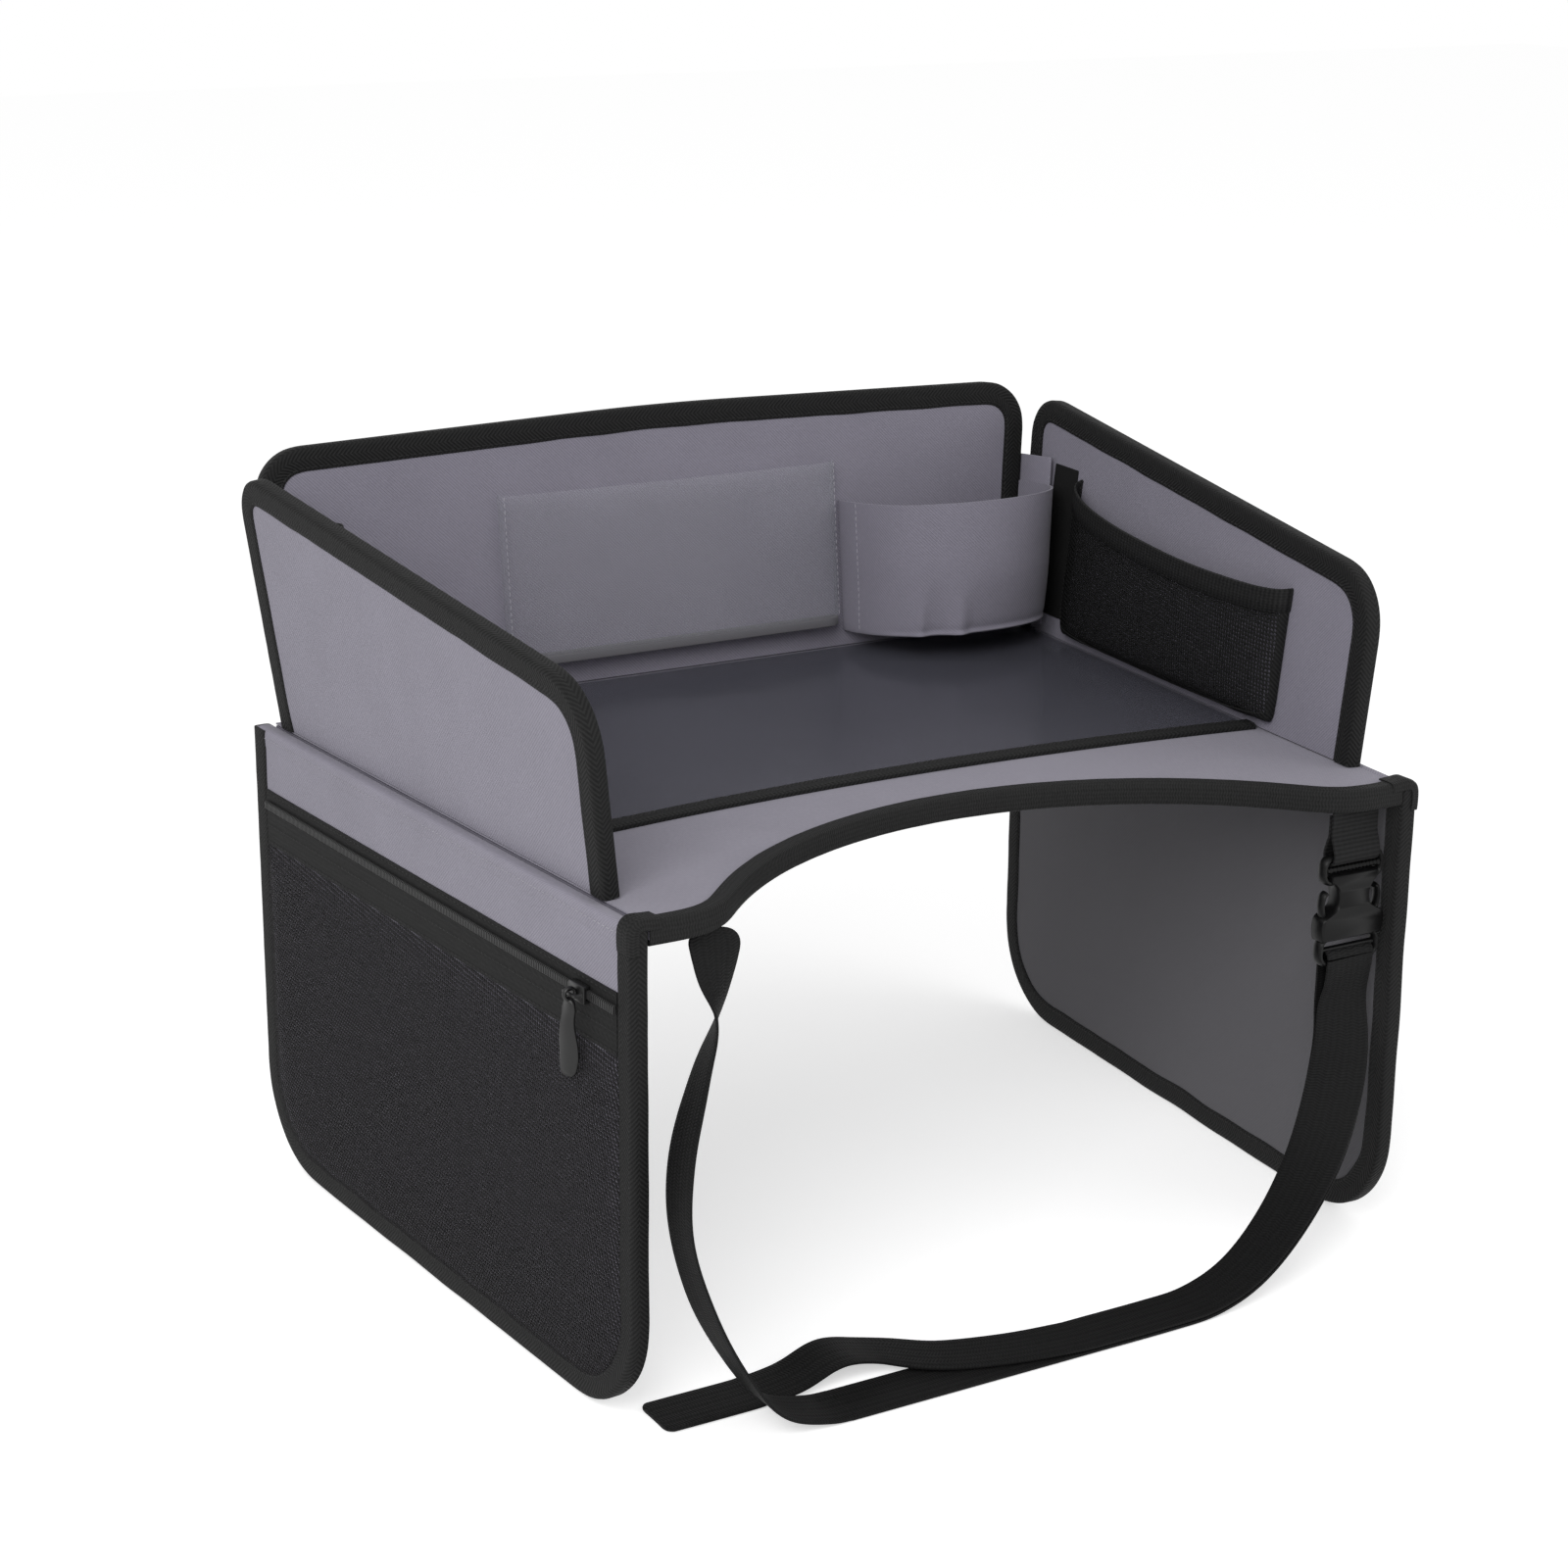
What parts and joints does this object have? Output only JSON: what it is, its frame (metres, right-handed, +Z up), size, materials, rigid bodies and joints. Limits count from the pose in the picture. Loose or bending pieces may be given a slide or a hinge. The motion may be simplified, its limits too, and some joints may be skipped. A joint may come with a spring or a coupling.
{
  "type": "car seat tray table",
  "caption": "Padded travel tray for a child's car seat with folding walls, pockets, hanging zipped side flaps and a buckled waist strap.",
  "frame": {"origin": "on the floor under the middle of the object's box, between the two flaps", "axes": "+X to the right across the tray, +Y from the child towards the back wall, +Z up"},
  "size_m": [0.4312, 0.3656, 0.337],
  "materials": {
    "grey_oxford": "matte",
    "dark_lining": "matte",
    "black_tape": "matte",
    "black_mesh": "matte",
    "black_elastic": "matte",
    "webbing": "matte",
    "black_plastic": "satin",
    "zip_enamel": "satin",
    "zip_nylon": "satin",
    "foam_board": "matte",
    "clear_film": "gloss"
  },
  "bodies": {
    "tray": {"tray_top_cover": "grey_oxford", "tray_board": "foam_board", "tray_lining": "dark_lining", "tray_front_binding": "black_tape", "drawing_panel": "dark_lining", "clear_film": "clear_film", "film_front_tape": "black_tape", "strap_webbing": "webbing", "strap_tail": "webbing", "buckle_strap": "webbing", "buckle_socket": "black_plastic", "buckle_plug": "black_plastic"},
    "left_wall": {"left_wall_outer_cover": "grey_oxford", "left_wall_board": "foam_board", "left_wall_inner_cover": "grey_oxford", "left_wall_binding": "black_tape", "left_wall_fastener": "black_elastic", "marker_pocket": "grey_oxford", "pen_loop": "black_elastic"},
    "right_wall": {"right_wall_outer_cover": "grey_oxford", "right_wall_board": "foam_board", "right_wall_inner_cover": "grey_oxford", "right_wall_binding": "black_tape", "right_wall_fastener": "black_elastic", "crayon_pocket_mesh": "black_mesh", "crayon_pocket_band": "black_elastic"},
    "back_wall": {"back_wall_outer_cover": "grey_oxford", "back_wall_board": "foam_board", "back_wall_inner_cover": "grey_oxford", "back_wall_binding": "black_tape", "left_corner_tab": "grey_oxford", "right_corner_tab": "grey_oxford", "cup_pocket": "grey_oxford", "tablet_sleeve": "clear_film", "tablet_ledge": "dark_lining"},
    "left_flap": {"left_flap_outer_cover": "grey_oxford", "left_flap_board": "foam_board", "left_flap_inner_cover": "dark_lining", "left_flap_binding": "black_tape", "left_flap_mesh_pocket": "black_mesh", "left_flap_zip_tape": "black_tape", "left_flap_zip_coil": "zip_nylon"},
    "right_flap": {"right_flap_outer_cover": "grey_oxford", "right_flap_board": "foam_board", "right_flap_inner_cover": "dark_lining", "right_flap_binding": "black_tape", "right_flap_mesh_pocket": "black_mesh", "right_flap_zip_tape": "black_tape", "right_flap_zip_coil": "zip_nylon"},
    "left_zip_slider": {"left_flap_zip_slider": "zip_enamel"},
    "left_zip_pull": {"left_flap_zip_pull": "zip_enamel"},
    "right_zip_slider": {"right_flap_zip_slider": "zip_enamel"},
    "right_zip_pull": {"right_flap_zip_pull": "zip_enamel"},
    "left_buckle_arm": {"buckle_left_arm": "black_plastic"},
    "right_buckle_arm": {"buckle_right_arm": "black_plastic"}
  },
  "joints": [
    {"name": "left_wall_fold", "type": "hinge", "parent": "tray", "child": "left_wall", "pos_m": [-0.18314, -0.1203, 0.2103], "axis": [0.0688, -0.9976, 0], "range_deg": [0, 80]},
    {"name": "right_wall_fold", "type": "hinge", "parent": "tray", "child": "right_wall", "pos_m": [0.18314, -0.1203, 0.2103], "axis": [0.0688, 0.9976, 0], "range_deg": [0, 80]},
    {"name": "back_wall_fold", "type": "hinge", "parent": "tray", "child": "back_wall", "pos_m": [0, 0.1682, 0.2103], "axis": [-1, 0, 0], "range_deg": [0, 83.5]},
    {"name": "left_flap_hinge", "type": "hinge", "parent": "tray", "child": "left_flap", "pos_m": [-0.18778, -0.15177, 0.2082], "axis": [-0.0688, 0.9976, 0], "range_deg": [0, 75]},
    {"name": "right_flap_hinge", "type": "hinge", "parent": "tray", "child": "right_flap", "pos_m": [0.18778, -0.15177, 0.2082], "axis": [-0.0688, -0.9976, 0], "range_deg": [0, 75]},
    {"name": "left_zip_slide", "type": "slide", "parent": "left_flap", "child": "left_zip_slider", "axis": [-0.0688, 0.9976, 0], "range_m": [0, 0.272]},
    {"name": "right_zip_slide", "type": "slide", "parent": "right_flap", "child": "right_zip_slider", "axis": [0.0688, 0.9976, 0], "range_m": [0, 0.272]},
    {"name": "left_zip_pull_swing", "type": "hinge", "parent": "left_zip_slider", "child": "left_zip_pull", "pos_m": [-0.19737, -0.11735, 0.1742], "axis": [0.0688, -0.9976, 0], "range_deg": [-150, 0]},
    {"name": "right_zip_pull_swing", "type": "hinge", "parent": "right_zip_slider", "child": "right_zip_pull", "pos_m": [0.19737, -0.11735, 0.1742], "axis": [0.0688, 0.9976, 0], "range_deg": [-150, 0]},
    {"name": "buckle_left_release", "type": "hinge", "parent": "tray", "child": "left_buckle_arm", "pos_m": [0.1524, -0.1443, 0.1433], "axis": [0, 1, 0], "range_deg": [0, 8], "stiffness_Nm_per_rad": 0.2},
    {"name": "buckle_right_release", "type": "hinge", "parent": "tray", "child": "right_buckle_arm", "pos_m": [0.1716, -0.1443, 0.1433], "axis": [0, -1, 0], "range_deg": [0, 8], "stiffness_Nm_per_rad": 0.2}
  ]
}
